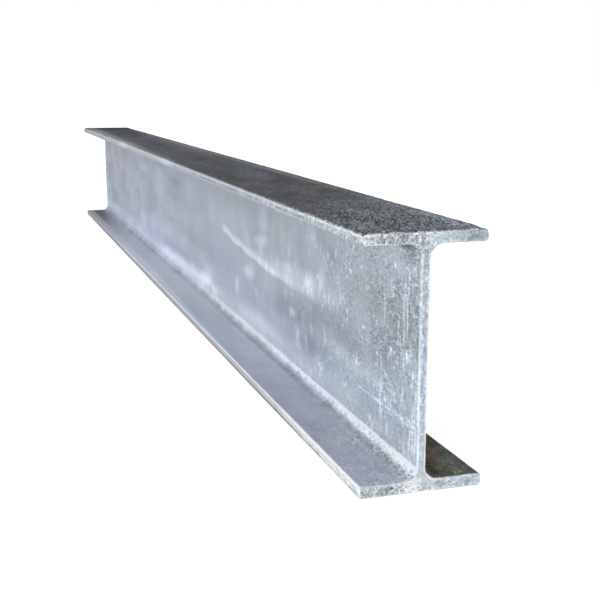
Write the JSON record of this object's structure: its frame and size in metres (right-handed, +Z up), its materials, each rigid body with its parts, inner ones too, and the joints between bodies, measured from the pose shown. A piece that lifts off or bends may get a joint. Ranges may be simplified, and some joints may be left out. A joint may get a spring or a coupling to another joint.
{
  "type": "steel h-beam",
  "caption": "Hot-dip galvanised rolled steel H-beam with parallel flanges, a slim web and rounded root fillets, sawn square to carry load as a beam or post.",
  "frame": {"origin": "middle of the lower flange's underside, where the beam stands", "axes": "+Y along the beam, +Z up from the lower flange to the upper one, +X across the flanges"},
  "size_m": [0.075, 1.35, 0.15],
  "materials": {
    "galvanised_steel": "satin"
  },
  "bodies": {
    "root": {"h_beam": "galvanised_steel"}
  },
  "joints": []
}
